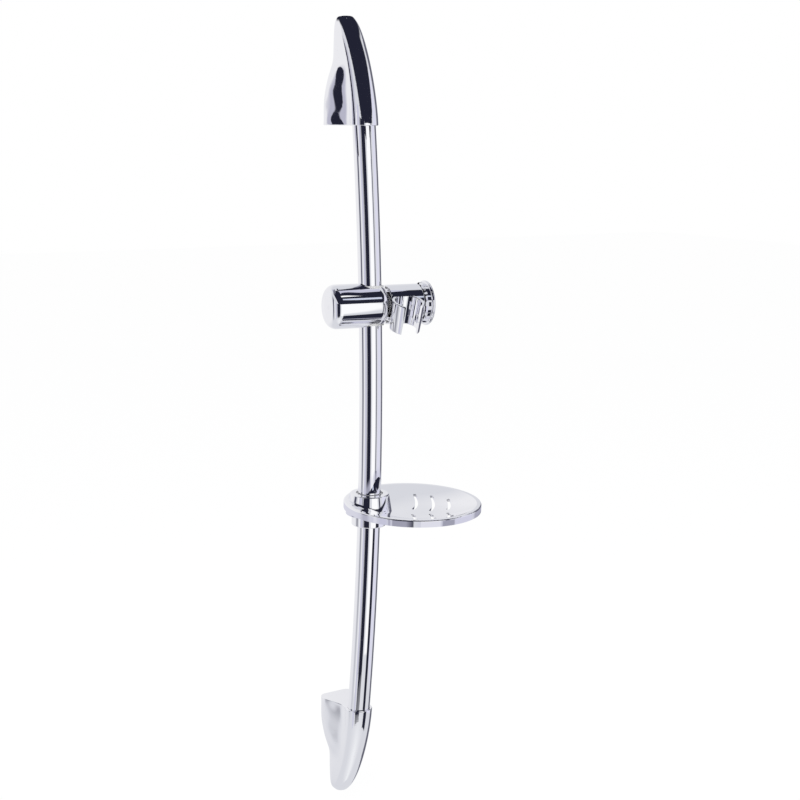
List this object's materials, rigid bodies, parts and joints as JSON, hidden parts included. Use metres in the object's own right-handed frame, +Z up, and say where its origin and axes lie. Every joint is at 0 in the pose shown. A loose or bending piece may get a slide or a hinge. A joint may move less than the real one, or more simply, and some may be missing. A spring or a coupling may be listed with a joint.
{
  "type": "shower slide rail with soap dish",
  "caption": "Bowed chrome shower rail on finned wall brackets, with a knob-locked swivelling handset holder and a slotted round soap dish that slide along the tube.",
  "frame": {"origin": "centre of the wall screw pattern, on the wall plane half way between the two brackets", "axes": "+Z up along the rail, +Y into the wall, +X to the right as seen from the room"},
  "size_m": [0.1333, 0.1419, 0.7042],
  "materials": {
    "rail_chrome": "polished chrome plate on a steel tube",
    "bracket_chrome": "polished chrome plate on a casting",
    "slider_chrome": "polished chrome plate on moulded plastic",
    "dish_chrome": "polished chrome plate on moulded plastic",
    "liner_plastic": "natural moulded plastic",
    "block_plastic": "grey moulded plastic",
    "pad_rubber": "moulded rubber",
    "screw_steel": "plain stainless steel"
  },
  "bodies": {
    "frame": {"rail_tube": "rail_chrome", "upper_rail_plug": "block_plastic", "lower_rail_plug": "block_plastic", "upper_bracket": "bracket_chrome", "lower_bracket": "bracket_chrome", "upper_wall_block": "block_plastic", "lower_wall_block": "block_plastic", "bracket_grub_screws": "screw_steel"},
    "slider_carriage": {"slider_bush": "liner_plastic"},
    "slider": {"slider_barrel": "slider_chrome", "slider_end_cap": "slider_chrome", "friction_washer": "liner_plastic"},
    "holder": {"handset_holder": "slider_chrome"},
    "brake": {"brake_shoe": "pad_rubber"},
    "knob": {"lock_knob": "slider_chrome", "clamp_screw": "screw_steel", "knob_washer": "liner_plastic"},
    "dish_carriage": {"dish_sleeve": "liner_plastic", "dish_collar": "dish_chrome", "dish_set_screw": "screw_steel"},
    "dish": {"soap_dish": "dish_chrome"}
  },
  "joints": [
    {"name": "slider_travel", "type": "hinge", "parent": "frame", "child": "slider_carriage", "pos_m": [0, 2.13629, 0], "axis": [-1, 0, 0], "range_deg": [-3.1, 3.32]},
    {"name": "slider_swivel", "type": "hinge", "parent": "slider_carriage", "child": "slider", "pos_m": [0, -0.05779, 0.109], "axis": [0, 0.0496, 0.9988], "range_deg": [-75, 44]},
    {"name": "holder_tilt", "type": "hinge", "parent": "slider", "child": "holder", "pos_m": [0, -0.05779, 0.109], "axis": [0.9877, -0.1562, 0.0078], "range_deg": [-35, 60]},
    {"name": "brake_slide", "type": "slide", "parent": "slider", "child": "brake", "axis": [0.9877, -0.1562, 0.0078], "range_m": [0, 0.00101]},
    {"name": "knob_turn", "type": "hinge", "parent": "brake", "child": "knob", "pos_m": [0, -0.05779, 0.109], "axis": [0.9877, -0.1562, 0.0078], "range_deg": [0, 360]},
    {"name": "dish_travel", "type": "hinge", "parent": "frame", "child": "dish_carriage", "pos_m": [0, 2.13629, 0], "axis": [-1, 0, 0], "range_deg": [-4.39, 0.26]},
    {"name": "dish_swivel", "type": "hinge", "parent": "dish_carriage", "child": "dish", "pos_m": [0, -0.05962, -0.062], "axis": [0, -0.0282, 0.9996], "range_deg": [-125, 15]}
  ],
  "couplings": [
    {"joint": "brake_slide", "follows": "knob_turn", "m_per_rad": 0.00015915}
  ]
}
